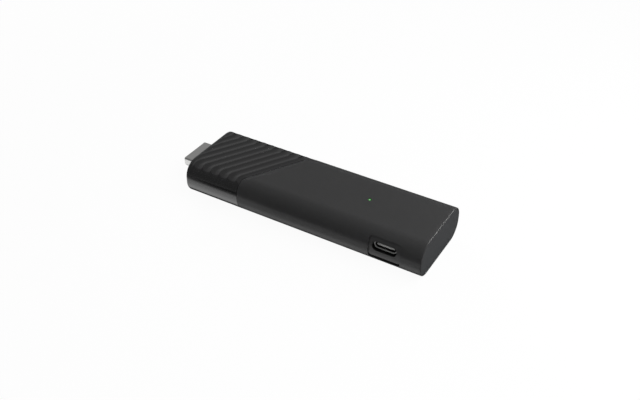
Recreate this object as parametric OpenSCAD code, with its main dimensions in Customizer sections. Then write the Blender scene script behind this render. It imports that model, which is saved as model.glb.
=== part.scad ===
/* [Body] */
// Length of the body along X, without the plug
body_length = 101.4; // [100:0.2:115]
// Width of the body along Y
body_width = 33.3; // [32:0.1:38]
// Height of the body
body_height = 14.3; // [13.8:0.1:17]
// Radius of the four long rounded edges
corner_radius = 6.2; // [4.6:0.1:6.4]
// Rounding of the edge round each end face
end_rounding = 0.5; // [0.3:0.05:0.55]
// Wall of the long sleeve
shell_wall = 1.3; // [1.1:0.05:1.5]
// Gap left where one shell part slides into another
fit_clearance = 0.1; // [0.05:0.01:0.15]

/* [Front grooves] */
// Length of the front along the centre line of the top
front_length = 31.4; // [28:0.1:33]
// Half width of the slanting run of the seam
seam_half_run = 12.4; // [10:0.1:14]
// Angle between the grooves and the long axis, in degrees
groove_angle = 60; // [50:1:80]
// Distance from one groove to the next, square to them
groove_pitch = 3.5; // [2.8:0.05:4.5]
// Depth of a groove below its crests
groove_depth = 0.45; // [0.2:0.05:0.7]
// Width of the crest left between two grooves
groove_land = 0.25; // [0.1:0.05:0.5]
// Distance from the seam to the middle of the last groove, square to it
groove_past_seam = 0.1; // [0:0.05:0.5]
// Number of grooves
groove_count = 10; // [4:1:12]
// Wall of the tongue by which the front fits into the sleeve
spigot_wall = 0.8; // [0.6:0.05:1]
// Reach of that tongue past the seam
spigot_reach = 3; // [2:0.1:4]
// Wall of the front's end face
front_end_wall = 1.6; // [1.2:0.1:2]

/* [End cap] */
// Rim of the sleeve that shows round the cap
cap_rim = 0.6; // [0.5:0.05:0.75]
// Thickness of the cap's plate
cap_thickness = 1.5; // [1.2:0.1:2]
// How far the cap lies inside the rim
cap_inset = 0.1; // [0:0.05:0.3]
// Width of one lug
cap_lug_width = 3; // [2:0.1:5]
// Distance of each lug from the centre line
cap_lug_offset = 10; // [8:0.1:11]

/* [HDMI plug] */
// Width of the plug's steel shell
plug_width = 13.9; // [13.8:0.05:14]
// Height of the plug's steel shell
plug_height = 4.45; // [4.4:0.05:4.55]
// Height of the upright part of its sides
plug_side_height = 2.7; // [2.2:0.1:3]
// Width of its flat underside
plug_base_width = 11.3; // [10.8:0.1:11.8]
// Rounding of its edges
plug_rounding = 0.7; // [0.5:0.05:0.8]
// How far the plug stands out of the body
plug_reach = 8.25; // [7.5:0.05:11.5]
// Sheet thickness of the shell
plug_wall = 0.3; // [0.25:0.01:0.35]
// How far the plug's centre lies below the middle of the body
plug_drop = 0.15; // [0:0.05:0.3]
// How far the insulator lies behind the shell's lip
insulator_recess = 0.6; // [0.3:0.1:1]
// Wall of the insulator on each side of its slot
insulator_side = 1.05; // [0.9:0.05:1.2]
// Pitch of the contacts
plug_pitch = 1; // [0.9:0.05:1.1]
// Number of contacts in the upper row
plug_contacts = 10; // [6:1:10]
// Width of one contact
plug_contact_width = 0.36; // [0.3:0.02:0.45]
// Thickness of one contact
plug_contact_thickness = 0.2; // [0.15:0.01:0.25]

/* [Charging port] */
// Distance of the port's centre from the end of the body
port_setback = 14.4; // [13:0.1:16]
// Width of the port panel's opening in the sleeve
panel_width = 12.5; // [11.5:0.1:14]
// Reach of that opening below the port's centre
panel_below = 5.9; // [5.6:0.1:6.1]
// Reach of that opening above the port's centre
panel_above = 3.1; // [2.8:0.1:3.2]
// Height of the dark slot left under the panel
panel_slot = 1; // [0.6:0.05:1.3]
// Rounding of the opening's corners
panel_corner = 1; // [0.5:0.1:1.5]
// How far the panel lies inside the surface of the side
panel_inset = 0.35; // [0.2:0.05:0.5]
// Thickness of the panel
panel_thickness = 1.5; // [1.4:0.05:1.6]
// Gap between the receptacle and its hole at each end
port_side_gap = 0.38; // [0.2:0.02:0.6]
// Half of what the hole is higher than the receptacle
port_height_gap = 0.22; // [0.2:0.02:0.3]
// How far the hole lies lower than the receptacle
port_hole_drop = 0.33; // [0.25:0.01:0.36]
// Outer width of the receptacle's shell
usb_width = 8.94; // [8.9:0.01:9]
// Outer height of the receptacle's shell
usb_height = 3.16; // [3.1:0.01:3.2]
// Sheet thickness of the receptacle's shell
usb_wall = 0.3; // [0.25:0.01:0.35]
// Length of the receptacle
usb_length = 7.35; // [7:0.05:7.8]
// Depth of the receptacle's mouth behind the side of the body
usb_recess = 1.4; // [1:0.05:1.8]
// Gap between the tongue and the shell at each end
tongue_side_gap = 0.825; // [0.78:0.005:0.87]
// Thickness of the tongue
tongue_thickness = 0.7; // [0.6:0.01:0.75]
// How far the tongue lies behind the shell's mouth
tongue_recess = 0.5; // [0.3:0.05:0.8]

/* [Status light] */
// Distance of the light from the end of the body
light_setback = 29.2; // [27:0.1:29.6]
// Place of the light across the body
light_y = 0.5; // [-1:0.1:1]
// Diameter of the light window
light_diameter = 1.3; // [1:0.05:2]

/* [Board] */
// Thickness of the circuit board
board_thickness = 1; // [0.8:0.05:1.2]
// Gap between the board's front edge and the front's end wall
board_front_gap = 3.1; // [2.8:0.1:3.4]
// Gap between the board's back edge and the cap
board_back_gap = 2.6; // [2.2:0.1:3]
// Height of the rails that hold the board's edges
rail_height = 6.4; // [5.5:0.1:7]
// How far the rails reach over the board's edges
rail_overlap = 1; // [0.8:0.05:1.3]
// Thickness of the rails outside the board's edges
rail_back = 1.35; // [1:0.05:1.5]
// Width of the bars that join the rails
bar_width = 5; // [4:0.1:6]
// Depth of those bars under the board
bar_depth = 2.8; // [2:0.1:3.5]
// Distance of each board screw from the centre line
screw_offset = 7.4; // [7:0.1:9.5]
// Diameter of the screw's shank
screw_diameter = 1.6; // [1.4:0.05:1.8]
// Diameter of the screw's head
screw_head = 3; // [2.6:0.1:3.4]
// Length of the screw's shank
screw_length = 3.4; // [2.6:0.1:3.6]

/* [Shields and cooling] */
// Distance of the shield cans from the centre of the light
shield_light_gap = 4.6; // [4:0.1:5.5]
// Length of each shield can
shield_length = 27.6; // [24:0.1:32]
// Width of each shield can
shield_width = 17.6; // [16:0.1:20]
// Height of each shield can
shield_height = 1.9; // [1.7:0.05:2.2]
// Sheet thickness of the cans
shield_wall = 0.2; // [0.15:0.01:0.25]
// Thickness of the two heat spreaders
spreader_thickness = 0.6; // [0.5:0.05:0.8]
// Length of the two heat spreaders
spreader_length = 28.6; // [25:0.1:33]
// Width of the two heat spreaders
spreader_width = 16.6; // [15:0.1:19]
// Gap between a spreader and the front's tongue beside it
spreader_gap = 0.2; // [0.1:0.05:0.3]

/* [Hidden] */
$fn = 64;

// Overrun of every cut past the face it opens
cut_overrun = 1;
half_length = body_length / 2;
half_width = body_width / 2;
// Long edges, as round as the height allows
edge_radius = min(corner_radius, body_height / 2 - end_rounding);
plug_centre_height = body_height / 2 - plug_drop;
port_x = half_length - port_setback;
light_x = half_length - light_setback;
shell_colour = [0.1, 0.1, 0.1];
gloss_colour = [0.05, 0.05, 0.05];
steel_colour = [0.6, 0.6, 0.62];
gold_colour = [0.8, 0.62, 0.25];
chip_colour = [0.14, 0.14, 0.15];
pad_colour = [0.5, 0.6, 0.68];

// Insets of the shell surfaces from the outer surface
spigot_inset = shell_wall + fit_clearance;
front_inset = spigot_inset + spigot_wall;

// Seam
seam_x = -half_length + front_length;
seam_side_shift = seam_half_run / tan(groove_angle);
seam_near_x = seam_x - seam_side_shift;
seam_far_x = seam_x + seam_side_shift;

// Cap
cap_face_x = half_length - cap_inset;
cap_back_x = cap_face_x - cap_thickness;

// Board
board_front_x = -half_length + front_end_wall + board_front_gap;
board_back_x = cap_back_x - board_back_gap;
board_length = board_back_x - board_front_x;
board_bottom = plug_centre_height - board_thickness / 2;
board_top = plug_centre_height + board_thickness / 2;
board_half = half_width - front_inset - fit_clearance - rail_back;
board_width = 2 * board_half;

// Rails and their bars
rail_inner = board_half - rail_overlap;
rail_bottom = plug_centre_height - rail_height / 2;
rail_front_x = board_front_x + bar_width;
front_bar_x = rail_front_x + bar_width / 2;
back_bar_x = board_back_x - bar_width / 2;

// Plug
slot_width = plug_width - 2 * plug_wall - 2 * insulator_side;

// Receptacle
port_hole_width = usb_width + 2 * port_side_gap;
port_hole_height = usb_height + 2 * port_height_gap;
tongue_width = usb_width - 2 * usb_wall - 2 * tongue_side_gap;
usb_mouth_y = -half_width + usb_recess;
usb_back_y = usb_mouth_y + usb_length;
usb_centre_height = board_top + usb_height / 2;
panel_bottom = usb_centre_height - panel_below;
panel_top = usb_centre_height + panel_above;

// Shields, pads and spreaders, in front of the light and inside the front's tongue
shield_back_x = light_x - shield_light_gap;
shield_front_x = shield_back_x - shield_length;
spreader_top = body_height - front_inset - spreader_gap;
spreader_bottom = front_inset + spreader_gap;
upper_pad_bottom = board_top + shield_height;
lower_pad_top = board_bottom - shield_height;

// Chips under the cans, which share the room inside them
chip_gap = 0.8;
small_gap = 0.5;
can_room_x = shield_length - 2 * shield_wall - 3 * chip_gap;
can_room_y = shield_width - 2 * shield_wall - 2 * chip_gap;
processor_shares = [0.565, 0.9];
memory_shares = [0.363, 0.83];
flash_shares = [0.464, 0.83];
power_shares = [0.242, 0.385];

// Chips, each as length, width and height
processor_size = [can_room_x * processor_shares.x, can_room_y * processor_shares.y, 1.2];
memory_size = [can_room_x * memory_shares.x, can_room_y * memory_shares.y, 1];
flash_size = [can_room_x * flash_shares.x, can_room_y * flash_shares.y, 1];
power_size = [can_room_x * power_shares.x, can_room_y * power_shares.y, 0.9];
wifi_size = [12, 11, 2];
led_size = [1.6, 0.8, 0.6];
crystal_size = [3.2, 2.5, 0.8];
inductor_size = [4, 4, 1.9];
esd_size = [2.5, 1, 0.5];
bulk_size = [3.2, 1.6, 1.6];
small_size = [1.6, 0.8, 0.8];
resistor_length = 1;
resistor_width = 0.5;
resistor_height = 0.35;
resistor_size = [resistor_length, resistor_width, resistor_height];
antenna_size = [20, 1.8, 0.2];
processor_x = shield_front_x + shield_wall + chip_gap + processor_size.x / 2;
memory_x = processor_x + processor_size.x / 2 + chip_gap + memory_size.x / 2;
flash_x = shield_front_x + shield_wall + chip_gap + flash_size.x / 2;
power_x = flash_x + flash_size.x / 2 + 2 * chip_gap + power_size.x / 2;
wifi_x = light_x + led_size.x / 2 + small_gap + wifi_size.x / 2;
capacitor_row_x = shield_front_x - chip_gap - small_size.x / 2;
resistor_row_x = capacitor_row_x - small_size.x / 2 - chip_gap - resistor_size.x / 2;
wifi_y = rail_inner - chip_gap - wifi_size.y / 2;

// Outline of the body's cross section, drawn in by an inset
module section(inset) {
    w = body_width - 2 * inset;
    h = body_height - 2 * inset;
    r = edge_radius - inset;
    translate([0, body_height / 2]) {
        square([w, h - 2 * r], center = true);
        square([w - 2 * r, h], center = true);
        for (sy = [-1, 1])
            for (sz = [-1, 1])
                translate([sy * (w / 2 - r), sz * (h / 2 - r)])
                    circle(r);
    }
}

// Straight bar of that section between two places along X
module bar(inset, x0, x1) {
    translate([x0, 0, 0])
        rotate([90, 0, 90])
            linear_extrude(x1 - x0)
                section(inset);
}

// Rectangle with rounded corners, centred
module rounded_rectangle(w, h, r) {
    square([w, h - 2 * r], center = true);
    square([w - 2 * r, h], center = true);
    for (sx = [-1, 1])
        for (sy = [-1, 1])
            translate([sx * (w / 2 - r), sy * (h / 2 - r)])
                circle(r);
}

// Whole outer form of the body, with rounded edges round both end faces
module outer_form() {
    flat_half = half_width - edge_radius;
    mid_height = body_height / 2;
    translate([0, flat_half, mid_height])
        rotate([90, 0, 0])
            linear_extrude(2 * flat_half)
                rounded_rectangle(body_length, body_height, end_rounding);
    translate([0, 0, edge_radius])
        linear_extrude(body_height - 2 * edge_radius)
            rounded_rectangle(body_length, body_width, end_rounding);
    for (sy = [-1, 1])
        for (z = [edge_radius, body_height - edge_radius])
            translate([0, sy * flat_half, z])
                rotate([0, 90, 0])
                    rotate_extrude()
                        intersection() {
                            rounded_rectangle(2 * edge_radius, body_length, end_rounding);
                            translate([0, -half_length])
                                square([edge_radius, body_length]);
                        }
}

// Region in front of the seam, shifted along X
module seam_region(shift) {
    far_end = -half_length - cut_overrun;
    side = half_width + cut_overrun;
    translate([0, 0, -cut_overrun])
        linear_extrude(body_height + 2 * cut_overrun)
            polygon([
                [far_end, -side],
                [seam_near_x + shift, -side],
                [seam_near_x + shift, -seam_half_run],
                [seam_far_x + shift, seam_half_run],
                [seam_far_x + shift, side],
                [far_end, side]
            ]);
}

// Row of round flutes along the grooves, the last one across the seam
module groove_cut() {
    groove_half = (groove_pitch - groove_land) / 2;
    flute_radius = (groove_half * groove_half + groove_depth * groove_depth) / (2 * groove_depth);
    run = 2 * body_width;
    translate([seam_x, 0, body_height - groove_depth + flute_radius])
        rotate([0, 0, groove_angle - 90])
            rotate([90, 0, 0])
                translate([0, 0, -run / 2])
                    linear_extrude(run)
                        for (i = [0 : groove_count - 1])
                            translate([groove_past_seam - i * groove_pitch, 0])
                                circle(flute_radius);
}

// Outline drawn round a row of corner centres at a given radius
module rounded_outline(centres, r) {
    count = len(centres);
    polygon(centres);
    for (i = [0 : count - 1]) {
        a = centres[i];
        b = centres[(i + 1) % count];
        along = (b - a) / norm(b - a);
        out = [along.y, -along.x] * r;
        polygon([a, a + out, b + out, b]);
        translate(a)
            circle(r);
    }
}

// Section of the plug's shell, wide side up, drawn in by an inset
module plug_section(inset) {
    side = plug_width / 2 - plug_rounding;
    base = plug_base_width / 2 - plug_rounding / 2;
    up = plug_height / 2 - plug_rounding;
    turn = plug_height / 2 - plug_side_height;
    rounded_outline(
        [[-base, -up], [base, -up], [side, turn], [side, up], [-side, up], [-side, turn]],
        plug_rounding - inset);
}

// Bar of the plug's section between two places along X
module plug_bar(inset, x0, x1) {
    translate([x0, 0, plug_centre_height])
        rotate([90, 0, 90])
            linear_extrude(x1 - x0)
                plug_section(inset);
}

// Obround bar along Y, for the receptacle and its hole
module port_bar(w, h, y0, y1) {
    translate([port_x, y1, usb_centre_height])
        rotate([90, 0, 0])
            linear_extrude(y1 - y0) {
                square([w - h, h], center = true);
                for (side = [-1, 1])
                    translate([side * (w - h) / 2, 0])
                        circle(h / 2);
            }
}

// Block through the side wall in the shape of the panel's opening
module panel_block(bottom, gap) {
    w = panel_width - 2 * gap;
    h = panel_top - gap - bottom;
    translate([port_x, -board_half, bottom + h / 2])
        rotate([90, 0, 0])
            linear_extrude(half_width - board_half + cut_overrun)
                rounded_rectangle(w, h, panel_corner);
}

// Box centred on a place of the board, standing on its top
module on_board(x, y, size) {
    translate([x - size.x / 2, y - size.y / 2, board_top])
        cube(size);
}

// Box centred on a place of the board, hanging from its underside
module under_board(x, y, size) {
    translate([x - size.x / 2, y - size.y / 2, board_bottom - size.z])
        cube(size);
}

// Long matt sleeve, open at both ends
module main_housing() {
    cap_seat_x = cap_back_x - fit_clearance;
    color(shell_colour)
        difference() {
            outer_form();
            seam_region(0);
            bar(shell_wall, -half_length, half_length + cut_overrun);
            bar(cap_rim, cap_seat_x, half_length + cut_overrun);
            groove_cut();
            panel_block(panel_bottom, 0);
            translate([light_x, light_y, body_height - shell_wall - cut_overrun])
                cylinder(h = shell_wall + 2 * cut_overrun, d = light_diameter + fit_clearance);
        }
}

// Gloss front with the grooved top, and the tongue that slides into the sleeve
module front_housing() {
    color(gloss_colour)
        difference() {
            union() {
                intersection() {
                    outer_form();
                    seam_region(-fit_clearance);
                }
                intersection() {
                    bar(spigot_inset, -half_length + front_end_wall, half_length);
                    seam_region(spigot_reach);
                }
            }
            bar(front_inset, -half_length + front_end_wall, half_length);
            groove_cut();
            plug_bar(-fit_clearance, -half_length - cut_overrun, 0);
        }
}

// Cap that closes the sleeve, with two lugs against the inner frame
module end_cap() {
    lug_height = rail_height - 2 * fit_clearance;
    lug_length = board_back_gap - 2 * fit_clearance;
    color(shell_colour) {
        bar(cap_rim + fit_clearance, cap_back_x, cap_face_x);
        for (side = [-1, 1])
            translate([cap_back_x - lug_length,
                       side * cap_lug_offset - cap_lug_width / 2,
                       plug_centre_height - lug_height / 2])
                cube([lug_length, cap_lug_width, lug_height]);
    }
}

// Panel round the receptacle, held from inside by a flange on three sides.
// Behind its lower hole, a pocket takes the front of the receptacle.
module port_bezel() {
    panel_low = panel_bottom + panel_slot;
    flange = 1;
    flange_w = panel_width + 2 * flange;
    flange_h = panel_top + flange / 2 - panel_low;
    color(shell_colour)
        difference() {
            union() {
                intersection() {
                    panel_block(panel_low, fit_clearance);
                    bar(panel_inset, 0, half_length);
                }
                intersection() {
                    translate([port_x - flange_w / 2, -half_width, panel_low])
                        cube([flange_w, half_width - board_half, flange_h]);
                    bar(spigot_inset, 0, half_length);
                }
            }
            bar(panel_inset + panel_thickness, 0, half_length);
            translate([0, 0, -port_hole_drop])
                port_bar(port_hole_width, port_hole_height, -half_width - cut_overrun, 0);
            port_bar(usb_width + 2 * fit_clearance, usb_height + 2 * fit_clearance,
                     usb_mouth_y - fit_clearance, 0);
        }
}

// Clear pin that carries the light from the board to the top
module light_pipe() {
    flange_height = 0.6;
    flange_top = body_height - shell_wall - fit_clearance;
    pin_diameter = light_diameter - fit_clearance;
    foot_height = board_top + led_size.z + fit_clearance;
    color([0.5, 0.9, 0.5])
        translate([light_x, light_y, 0]) {
            translate([0, 0, foot_height])
                cylinder(h = flange_top - foot_height, d = light_diameter + flange_height);
            translate([0, 0, flange_top - flange_height])
                cylinder(h = flange_height, d = 2 * light_diameter);
            translate([0, 0, flange_top])
                cylinder(h = body_height - flange_top, d = pin_diameter);
        }
}

// Folded steel shell of the plug, with two legs through the board
module hdmi_shell() {
    back_x = board_front_x - fit_clearance;
    leg_length = 3.2;
    leg_height = board_thickness + 2 * plug_wall;
    color(steel_colour) {
        difference() {
            plug_bar(0, -half_length - plug_reach, back_x);
            plug_bar(plug_wall, -half_length - plug_reach - cut_overrun, back_x + cut_overrun);
        }
        for (side = [-1, 1])
            translate([back_x - plug_wall,
                       side * (plug_width - plug_wall) / 2 - plug_wall / 2,
                       plug_centre_height - leg_height / 2])
                cube([leg_length, plug_wall, leg_height]);
    }
}

// Moulded block inside the plug, with the slot for the socket's tongue
module hdmi_insulator() {
    front_x = -half_length - plug_reach + insulator_recess;
    back_x = board_front_x - fit_clearance;
    slot_height = board_thickness + 2 * plug_contact_thickness;
    color(gloss_colour)
        difference() {
            plug_bar(plug_wall + fit_clearance / 2, front_x, back_x);
            translate([front_x - cut_overrun, -slot_width / 2, plug_centre_height - slot_height / 2])
                cube([back_x - front_x + 2 * cut_overrun, slot_width, slot_height]);
        }
}

// Two rows of contacts that run from the slot onto the board
module hdmi_contacts() {
    front_x = -half_length - plug_reach + 2 * insulator_recess;
    tail = 1.6;
    reach = board_front_x + tail - front_x;
    blade = [reach, plug_contact_width, plug_contact_thickness];
    color(gold_colour) {
        for (i = [0 : plug_contacts - 1])
            translate([front_x, (i - (plug_contacts - 1) / 2) * plug_pitch - blade.y / 2, board_top])
                cube(blade);
        for (i = [0 : plug_contacts - 2])
            translate([front_x,
                       (i - (plug_contacts - 2) / 2) * plug_pitch - blade.y / 2,
                       board_bottom - blade.z])
                cube(blade);
    }
}

// Steel tube of the receptacle
module usb_shell() {
    color(steel_colour)
        difference() {
            port_bar(usb_width, usb_height, usb_mouth_y, usb_back_y);
            port_bar(usb_width - 2 * usb_wall, usb_height - 2 * usb_wall,
                     usb_mouth_y - cut_overrun, usb_back_y + cut_overrun);
        }
}

// Moulded back of the receptacle with its tongue
module usb_tongue() {
    back_depth = 1.4;
    inner = 2 * usb_wall + fit_clearance;
    color(gloss_colour) {
        port_bar(usb_width - inner, usb_height - inner, usb_back_y - back_depth, usb_back_y);
        translate([port_x - tongue_width / 2,
                   usb_mouth_y + tongue_recess,
                   usb_centre_height - tongue_thickness / 2])
            cube([tongue_width, usb_length - tongue_recess - back_depth / 2, tongue_thickness]);
    }
}

// Contacts on both faces of the tongue, and their feet on the board
module usb_contacts() {
    count = 12;
    pitch = 0.5;
    contact_width = 0.25;
    blade_length = 4.2;
    blade_thickness = 0.08;
    foot_length = 1;
    foot_height = 0.2;
    blade = [contact_width, blade_length, blade_thickness];
    foot = [contact_width, foot_length, foot_height];
    start_y = usb_mouth_y + tongue_recess + 2 * blade.x;
    color(gold_colour)
        for (i = [0 : count - 1])
            translate([port_x + (i - (count - 1) / 2) * pitch - blade.x / 2, 0, 0]) {
                translate([0, start_y, usb_centre_height + tongue_thickness / 2])
                    cube(blade);
                translate([0, start_y, usb_centre_height - tongue_thickness / 2 - blade.z])
                    cube(blade);
                translate([0, usb_back_y, board_top])
                    cube(foot);
            }
}

// Frame that slides into the sleeve and holds the board by its edges
module inner_frame() {
    slot_gap = fit_clearance / 2;
    window_margin = 2;
    window = panel_width + 2 * window_margin;
    bar_top = board_bottom;
    color([0.2, 0.2, 0.21])
        difference() {
            intersection() {
                bar(front_inset + fit_clearance, board_front_x, board_back_x);
                union() {
                    for (side = [-1, 1])
                        translate([rail_front_x,
                                   side > 0 ? rail_inner : -half_width,
                                   rail_bottom])
                            cube([board_back_x - rail_front_x, half_width - rail_inner, rail_height]);
                    for (x = [front_bar_x, back_bar_x])
                        translate([x - bar_width / 2, -half_width, bar_top - bar_depth])
                            cube([bar_width, body_width, bar_depth]);
                }
            }
            translate([rail_front_x - cut_overrun, -board_half - slot_gap, board_bottom])
                cube([board_length, board_width + 2 * slot_gap, board_thickness + slot_gap]);
            translate([port_x - window / 2, -half_width, bar_top - bar_depth - cut_overrun])
                cube([window, half_width - rail_inner + slot_gap, rail_height + 2 * cut_overrun]);
            for (x = [front_bar_x, back_bar_x])
                for (side = [-1, 1])
                    translate([x, side * screw_offset, bar_top - bar_depth - cut_overrun])
                        cylinder(h = bar_depth + 2 * cut_overrun, d = screw_diameter + fit_clearance);
        }
}

// Four screws that hold the board on the frame's bars
module board_screws() {
    head_height = 0.8;
    recess_depth = 0.4;
    recess_width = 0.5;
    color(steel_colour)
        for (x = [front_bar_x, back_bar_x])
            for (side = [-1, 1])
                translate([x, side * screw_offset, board_top])
                    difference() {
                        union() {
                            cylinder(h = head_height, d = screw_head);
                            translate([0, 0, -screw_length])
                                cylinder(h = screw_length + head_height / 2, d = screw_diameter);
                        }
                        for (turn = [0, 90])
                            rotate([0, 0, turn])
                                translate([-screw_diameter / 2,
                                           -recess_width / 2,
                                           head_height - recess_depth])
                                    cube([screw_diameter, recess_width, recess_depth + cut_overrun]);
                    }
}

// Circuit board with its screw holes and the notches for the plug's legs
module main_board() {
    notch_length = 3.4;
    notch_width = 0.6;
    hole_diameter = screw_diameter + 2 * fit_clearance;
    color([0.07, 0.22, 0.15])
        difference() {
            translate([board_front_x, -board_half, board_bottom])
                cube([board_length, board_width, board_thickness]);
            for (x = [front_bar_x, back_bar_x])
                for (side = [-1, 1])
                    translate([x, side * screw_offset, board_bottom - cut_overrun])
                        cylinder(h = board_thickness + 2 * cut_overrun, d = hole_diameter);
            for (side = [-1, 1])
                translate([board_front_x - cut_overrun,
                           side * (plug_width - plug_wall) / 2 - notch_width / 2,
                           board_bottom - cut_overrun])
                    cube([notch_length + cut_overrun, notch_width, board_thickness + 2 * cut_overrun]);
        }
}

// Small light source under the light pipe
module status_led() {
    color([0.9, 0.95, 0.85])
        on_board(light_x, light_y, led_size);
}

// Main processor
module processor() {
    color(chip_colour)
        on_board(processor_x, 0, processor_size);
}

// Working memory
module memory_chip() {
    color(chip_colour)
        on_board(memory_x, 0, memory_size);
}

// Storage chip under the board
module flash_chip() {
    color(chip_colour)
        under_board(flash_x, 0, flash_size);
}

// Power control chip under the board
module power_chip() {
    color(chip_colour)
        under_board(power_x, 0, power_size);
}

// Radio module beside the light
module wifi_module() {
    base_height = 0.6;
    rim = 0.4;
    lid = [wifi_size.x - 2 * rim, wifi_size.y - 2 * rim, wifi_size.z];
    color(steel_colour) {
        on_board(wifi_x, wifi_y, [wifi_size.x, wifi_size.y, base_height]);
        on_board(wifi_x, wifi_y, lid);
    }
}

// Fence of a shield can, from a given height up
module shield_fence(bottom) {
    inner = [shield_length - 2 * shield_wall, shield_width - 2 * shield_wall, shield_height];
    translate([shield_front_x, -shield_width / 2, bottom])
        difference() {
            cube([shield_length, shield_width, shield_height - shield_wall]);
            translate([shield_wall, shield_wall, -shield_wall])
                cube(inner + [0, 0, shield_height]);
        }
}

// Fence soldered to the top of the board
module upper_shield_frame() {
    color(steel_colour)
        shield_fence(board_top);
}

// Lid on that fence
module upper_shield_lid() {
    color(steel_colour)
        translate([shield_front_x, -shield_width / 2, upper_pad_bottom - shield_wall])
            cube([shield_length, shield_width, shield_wall]);
}

// Fence soldered to the underside of the board
module lower_shield_frame() {
    color(steel_colour)
        shield_fence(lower_pad_top + shield_wall);
}

// Lid under that fence
module lower_shield_lid() {
    color(steel_colour)
        translate([shield_front_x, -shield_width / 2, lower_pad_top])
            cube([shield_length, shield_width, shield_wall]);
}

// Soft pad between the processor and the upper lid
module processor_pad() {
    pad_height = shield_height - shield_wall - processor_size.z;
    color(pad_colour)
        translate([processor_x - processor_size.x / 2, -processor_size.y / 2, board_top + processor_size.z])
            cube([processor_size.x, processor_size.y, pad_height]);
}

// Soft pad between the storage chip and the lower lid
module flash_pad() {
    pad_height = shield_height - shield_wall - flash_size.z;
    color(pad_colour)
        translate([flash_x - flash_size.x / 2, -flash_size.y / 2, lower_pad_top + shield_wall])
            cube([flash_size.x, flash_size.y, pad_height]);
}

// Soft pad between the upper lid and the upper spreader
module upper_spreader_pad() {
    color(pad_colour)
        translate([processor_x - processor_size.x / 2, -processor_size.y / 2, upper_pad_bottom])
            cube([processor_size.x, processor_size.y,
                  spreader_top - spreader_thickness - upper_pad_bottom]);
}

// Soft pad between the lower lid and the lower spreader
module lower_spreader_pad() {
    color(pad_colour)
        translate([flash_x - flash_size.x / 2, -flash_size.y / 2, spreader_bottom + spreader_thickness])
            cube([flash_size.x, flash_size.y,
                  lower_pad_top - spreader_bottom - spreader_thickness]);
}

// Plate of a heat spreader, from a given height up
module spreader(bottom) {
    translate([shield_back_x - spreader_length, -spreader_width / 2, bottom])
        cube([spreader_length, spreader_width, spreader_thickness]);
}

// Aluminium plate under the top of the shell
module upper_heat_spreader() {
    color([0.75, 0.76, 0.78])
        spreader(spreader_top - spreader_thickness);
}

// Aluminium plate above the floor of the shell
module lower_heat_spreader() {
    color([0.75, 0.76, 0.78])
        spreader(spreader_bottom);
}

// Stamped antenna on a rail, with notches and a foot on the board
module antenna(side) {
    sheet = antenna_size.z;
    plate = antenna_size;
    notch_width = 1;
    notch_depth = 1.2;
    notches = 5;
    foot_length = 1.4;
    foot_width = 1;
    foot = [foot_length, foot_width, sheet];
    top = rail_bottom + rail_height;
    inner = rail_inner - fit_clearance;
    color(gold_colour)
        translate([shield_back_x - plate.x, 0, 0])
            mirror([0, side > 0 ? 0 : 1, 0]) {
                translate([0, inner - sheet, top])
                    difference() {
                        cube(plate);
                        for (i = [1 : notches])
                            translate([i * plate.x / (notches + 1) - notch_width / 2,
                                       i % 2 == 0 ? -cut_overrun : plate.y - notch_depth,
                                       -cut_overrun])
                                cube([notch_width, notch_depth + cut_overrun, sheet + 2 * cut_overrun]);
                    }
                translate([0, inner - sheet, board_top])
                    cube([foot.x, sheet, top - board_top + sheet / 2]);
                translate([0, inner - foot.y, board_top])
                    cube(foot);
            }
}

// Antenna on the far rail
module wifi_antenna() {
    antenna(1);
}

// Antenna on the near rail
module bluetooth_antenna() {
    antenna(-1);
}

// Coils of the power supply
module power_inductors() {
    row_x = resistor_row_x - resistor_size.x / 2 - chip_gap - inductor_size.x / 2;
    count = 3;
    color([0.3, 0.3, 0.32])
        for (i = [0 : count - 1])
            on_board(row_x, (i - (count - 1) / 2) * (inductor_size.y + chip_gap), inductor_size);
}

// Large capacitors beside the receptacle
module bulk_capacitors() {
    row_x = port_x - usb_width / 2 - chip_gap - bulk_size.x / 2;
    first_y = -rail_inner + chip_gap + bulk_size.y / 2;
    count = 2;
    color([0.72, 0.6, 0.4])
        for (i = [0 : count - 1])
            on_board(row_x, first_y + i * (bulk_size.y + small_gap), bulk_size);
}

// Rows of small capacitors in front of the shields and behind them
module small_capacitors() {
    back_row_x = light_x - led_size.x / 2 - chip_gap - small_size.x / 2;
    pitch = small_size.y + small_gap;
    row_half = rail_inner - crystal_size.y - 2 * chip_gap;
    count = floor(2 * row_half / pitch);
    color([0.72, 0.6, 0.4])
        for (i = [0 : count - 1]) {
            on_board(capacitor_row_x, (i - (count - 1) / 2) * pitch, small_size);
            under_board(capacitor_row_x, (i - (count - 1) / 2) * pitch, small_size);
            on_board(back_row_x, (i - (count - 1) / 2) * pitch, small_size);
        }
}

// Small resistors in front of the shields and under the radio module
module resistors() {
    count = 14;
    pitch = resistor_size.y + small_gap;
    color([0.16, 0.16, 0.17])
        for (i = [0 : count - 1]) {
            on_board(resistor_row_x, (i - (count - 1) / 2) * pitch, resistor_size);
            under_board(wifi_x, (i - (count - 1) / 2) * pitch, resistor_size);
        }
}

// Protection chips right behind the plug
module esd_arrays() {
    count = 4;
    row_x = front_bar_x - bar_width;
    pitch = esd_size.y + 2 * small_gap;
    color(chip_colour)
        for (i = [0 : count - 1])
            on_board(row_x + esd_size.x / 2, (i - (count - 1) / 2) * pitch, esd_size);
}

// Clock crystal in the metal can
module clock_crystal() {
    color(steel_colour)
        on_board(shield_back_x + chip_gap + crystal_size.x / 2,
                 -rail_inner + chip_gap + crystal_size.y / 2,
                 crystal_size);
}

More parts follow.
